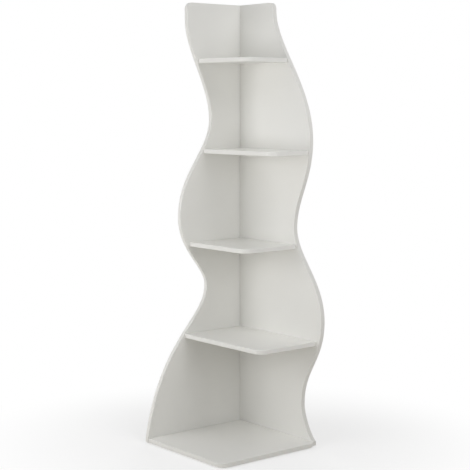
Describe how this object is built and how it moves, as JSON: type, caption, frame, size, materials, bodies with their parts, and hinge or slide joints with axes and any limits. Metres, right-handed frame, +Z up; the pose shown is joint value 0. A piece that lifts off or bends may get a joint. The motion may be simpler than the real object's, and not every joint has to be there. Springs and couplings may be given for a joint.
{
  "type": "corner shelving unit",
  "caption": "Free-standing white corner shelving unit: two wavy side panels butted at a right angle carry square-set shelves with rounded free corners, on small nail-on glides.",
  "frame": {"origin": "centre of the overall box at floor level, where the glides stand", "axes": "+Z up; the unit's closed back corner lies towards -X and +Y: the left panel's outer face looks along -X, the right panel's along +Y, and the shelves are open towards +X and -Y"},
  "size_m": [0.469, 0.4514, 1.6],
  "materials": {
    "white_board": "satin white paint on 16 mm board, with slightly eased edges",
    "zinc_plated_steel": "zinc-plated",
    "beech": "bare, straight-grained",
    "white_plastic": "moulded, matte"
  },
  "bodies": {
    "root": {"left_panel": "white_board", "right_panel": "white_board", "base_shelf": "white_board", "second_shelf": "white_board", "third_shelf": "white_board", "fourth_shelf": "white_board", "top_shelf": "white_board", "left_screw_base_shelf_back": "zinc_plated_steel", "left_screw_base_shelf_front": "zinc_plated_steel", "left_screw_second_shelf_back": "zinc_plated_steel", "left_screw_second_shelf_front": "zinc_plated_steel", "left_screw_third_shelf_back": "zinc_plated_steel", "left_screw_third_shelf_front": "zinc_plated_steel", "left_screw_fourth_shelf_back": "zinc_plated_steel", "left_screw_fourth_shelf_front": "zinc_plated_steel", "left_screw_top_shelf_back": "zinc_plated_steel", "left_screw_top_shelf_front": "zinc_plated_steel", "right_screw_base_shelf_back": "zinc_plated_steel", "right_screw_base_shelf_front": "zinc_plated_steel", "right_screw_second_shelf_back": "zinc_plated_steel", "right_screw_second_shelf_front": "zinc_plated_steel", "right_screw_third_shelf_back": "zinc_plated_steel", "right_screw_third_shelf_front": "zinc_plated_steel", "right_screw_fourth_shelf_back": "zinc_plated_steel", "right_screw_fourth_shelf_front": "zinc_plated_steel", "right_screw_top_shelf_back": "zinc_plated_steel", "right_screw_top_shelf_front": "zinc_plated_steel", "corner_screw_1": "zinc_plated_steel", "corner_screw_2": "zinc_plated_steel", "corner_screw_3": "zinc_plated_steel", "corner_screw_4": "zinc_plated_steel", "corner_screw_5": "zinc_plated_steel", "left_dowel_base_shelf": "beech", "left_dowel_second_shelf": "beech", "left_dowel_third_shelf": "beech", "left_dowel_fourth_shelf": "beech", "left_dowel_top_shelf": "beech", "right_dowel_base_shelf": "beech", "right_dowel_second_shelf": "beech", "right_dowel_third_shelf": "beech", "right_dowel_fourth_shelf": "beech", "right_dowel_top_shelf": "beech", "corner_dowel_1": "beech", "corner_dowel_2": "beech", "corner_dowel_3": "beech", "corner_dowel_4": "beech", "corner_dowel_5": "beech", "glide_corner": "white_plastic", "glide_left": "white_plastic", "glide_right": "white_plastic", "glide_front": "white_plastic", "glide_nail_corner": "zinc_plated_steel", "glide_nail_left": "zinc_plated_steel", "glide_nail_right": "zinc_plated_steel", "glide_nail_front": "zinc_plated_steel"}
  },
  "joints": []
}
